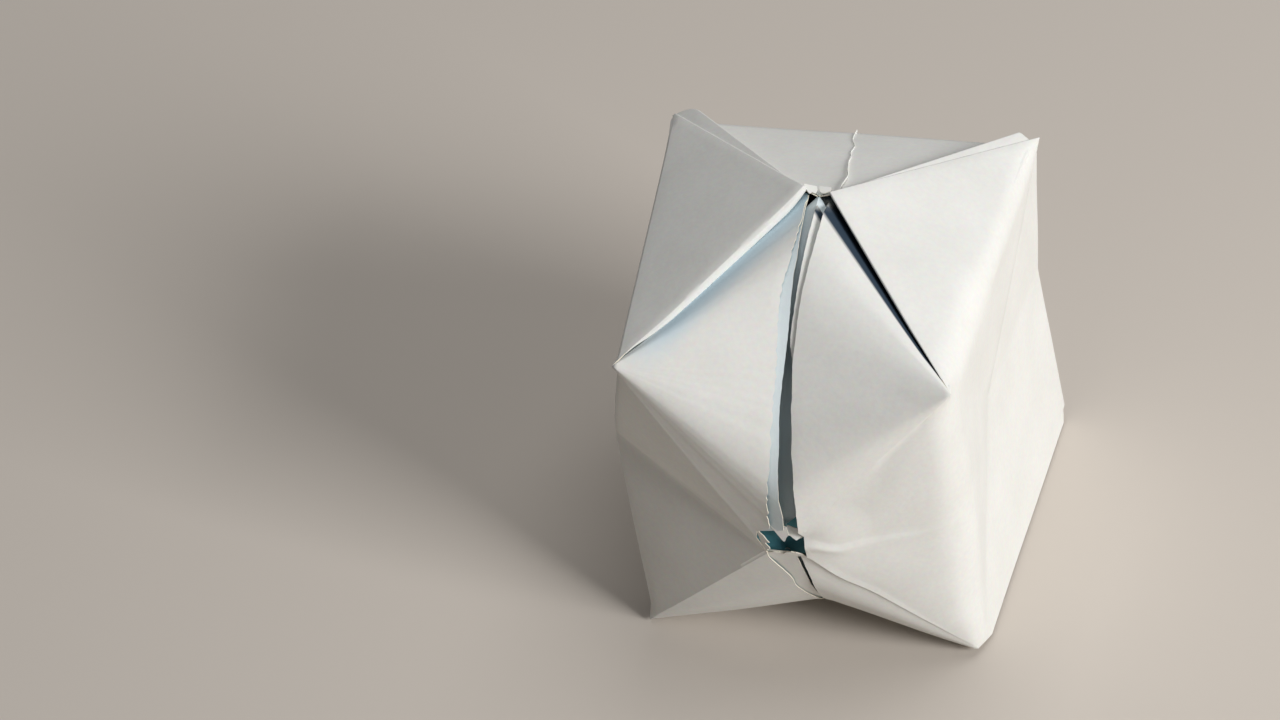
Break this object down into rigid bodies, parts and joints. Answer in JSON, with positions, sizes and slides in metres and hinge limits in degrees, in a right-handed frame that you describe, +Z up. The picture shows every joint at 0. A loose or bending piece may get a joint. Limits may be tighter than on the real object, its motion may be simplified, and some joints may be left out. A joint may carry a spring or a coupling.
{
  "type": "origami balloon",
  "caption": "Origami balloon folded from one square paper sheet and blown into a dented cube, with a small blow hole, bowed open slots and thick folded-over corners.",
  "frame": {"origin": "on the table, under the middle of the balloon's bounding box", "axes": "+Z up from the table, -Y out of the blow hole, +X to the right when the hole faces the viewer"},
  "size_m": [0.0433, 0.0454, 0.045],
  "materials": {
    "paper": "matt white folding paper with a blue-green back"
  },
  "bodies": {
    "root": {"folded_sheet": "paper"}
  },
  "joints": []
}
